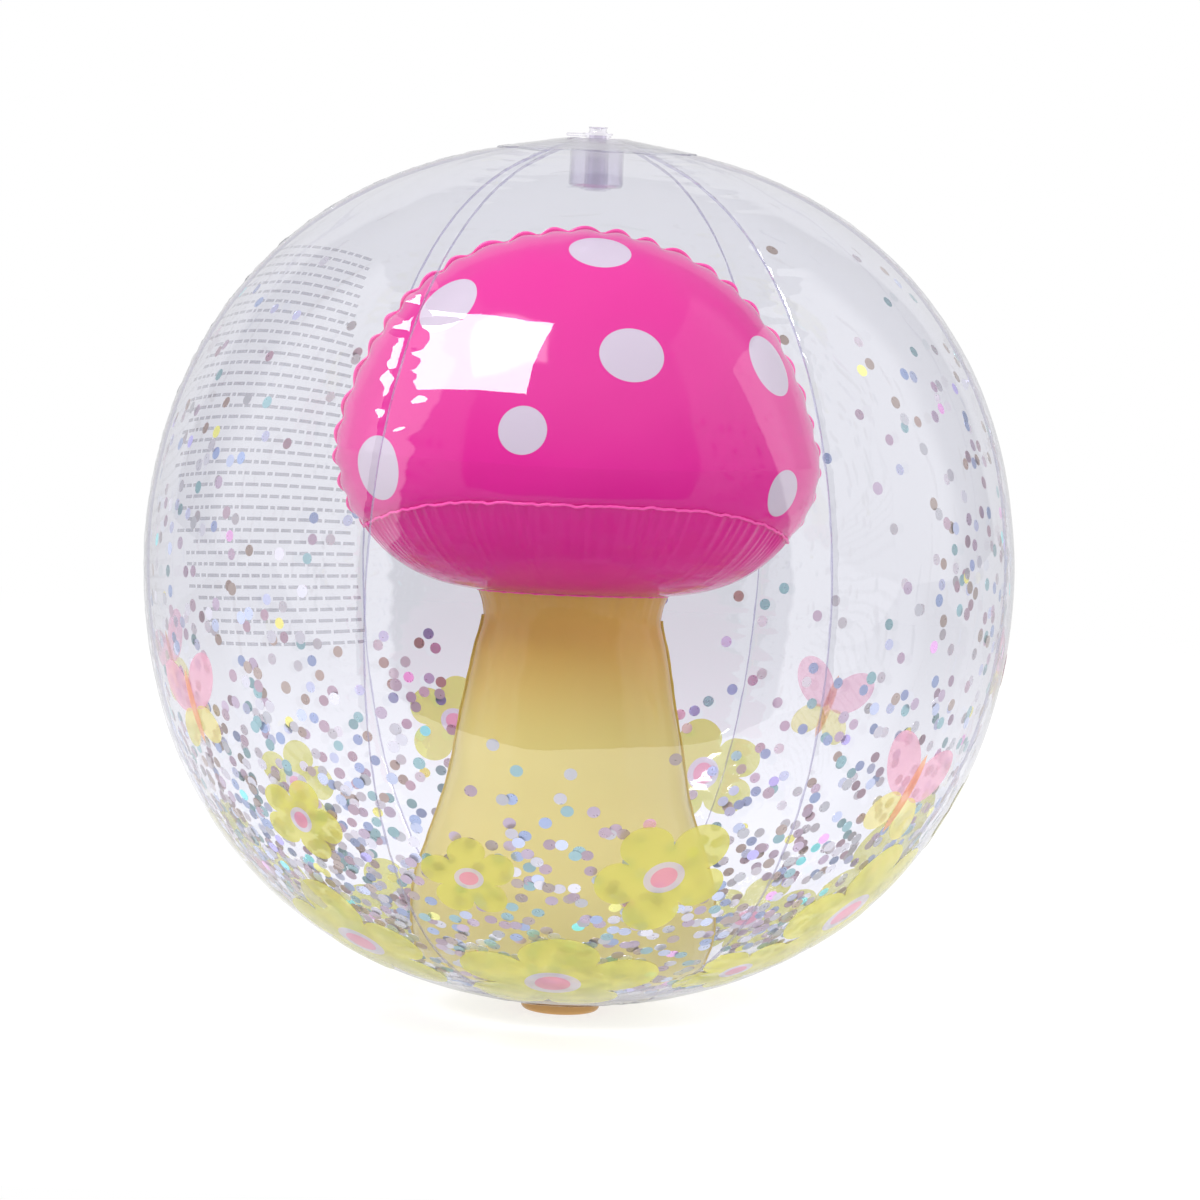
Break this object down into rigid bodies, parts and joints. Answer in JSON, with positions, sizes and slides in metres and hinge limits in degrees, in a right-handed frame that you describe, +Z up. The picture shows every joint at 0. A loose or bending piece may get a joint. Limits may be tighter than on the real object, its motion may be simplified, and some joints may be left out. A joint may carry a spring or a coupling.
{
  "type": "inflatable beach ball",
  "caption": "Clear inflatable beach ball of welded gores with push-in air valves, a soft inflated mushroom standing inside it and loose foil confetti on its inner wall.",
  "frame": {"origin": "centre of the base boss's resting face, on the ball's axis, at the bottom of the object", "axes": "+Z runs up the ball's axis to the air valve, -Y is the front, +X is the right seen from the front"},
  "size_m": [0.35, 0.35, 0.3575],
  "materials": {
    "clear_film": "clear glossy vinyl film",
    "clear_moulding": "clear soft vinyl moulding",
    "amber_moulding": "glossy amber vinyl moulding",
    "pink_vinyl": "glossy pink vinyl film",
    "yellow_vinyl": "glossy yellow vinyl film",
    "foil_silver": "metallised film",
    "foil_mauve": "metallised film",
    "foil_blue": "metallised film"
  },
  "bodies": {
    "ball": {"gore_1": "clear_film", "gore_2": "clear_film", "gore_3": "clear_film", "gore_4": "clear_film", "gore_5": "clear_film", "gore_6": "clear_film", "top_patch": "clear_film", "bottom_patch": "clear_film", "ball_valve_flange": "clear_moulding", "ball_valve_sleeve": "clear_moulding", "base_boss": "amber_moulding", "mushroom_cap_front_panel": "pink_vinyl", "mushroom_cap_back_panel": "pink_vinyl", "mushroom_underside_panel": "pink_vinyl", "mushroom_stem_front_panel": "yellow_vinyl", "mushroom_stem_back_panel": "yellow_vinyl", "mushroom_base_panel": "yellow_vinyl", "mushroom_valve_sleeve": "clear_moulding", "confetti_silver": "foil_silver", "confetti_mauve": "foil_mauve", "confetti_blue": "foil_blue"},
    "ball_valve": {"ball_valve_stem": "clear_moulding", "ball_valve_strap": "clear_moulding"},
    "ball_plug": {"ball_valve_plug": "clear_moulding"},
    "ball_flap": {"ball_valve_flap": "clear_moulding"},
    "mushroom_valve": {"mushroom_valve_stem": "clear_moulding", "mushroom_valve_strap": "clear_moulding"},
    "mushroom_plug": {"mushroom_valve_plug": "clear_moulding"},
    "mushroom_flap": {"mushroom_valve_flap": "clear_moulding"}
  },
  "joints": [
    {"name": "ball_valve_pull", "type": "slide", "parent": "ball", "child": "ball_valve", "axis": [0, 0, 1], "range_m": [0, 0.02], "deforming": ["ball_valve_sleeve"]},
    {"name": "ball_plug_pull", "type": "slide", "parent": "ball_valve", "child": "ball_plug", "axis": [0, 0, 1], "range_m": [0, 0.012], "deforming": ["ball_valve_strap"]},
    {"name": "ball_flap_swing", "type": "hinge", "parent": "ball_valve", "child": "ball_flap", "pos_m": [0, 0.0049, 0.33253], "axis": [1, 0, 0], "range_deg": [0, 45], "stiffness_Nm_per_rad": 0.0002, "springref_deg": -11.46},
    {"name": "mushroom_valve_pull", "type": "slide", "parent": "ball", "child": "mushroom_valve", "axis": [0, 0, -1], "range_m": [0, 0.02], "deforming": ["mushroom_valve_sleeve"]},
    {"name": "mushroom_plug_pull", "type": "slide", "parent": "mushroom_valve", "child": "mushroom_plug", "axis": [0, 0, -1], "range_m": [0, 0.012], "deforming": ["mushroom_valve_strap"]},
    {"name": "mushroom_flap_swing", "type": "hinge", "parent": "mushroom_valve", "child": "mushroom_flap", "pos_m": [0, -0.0049, 0.0266], "axis": [1, 0, 0], "range_deg": [0, 45], "stiffness_Nm_per_rad": 0.0002, "springref_deg": -11.46}
  ]
}
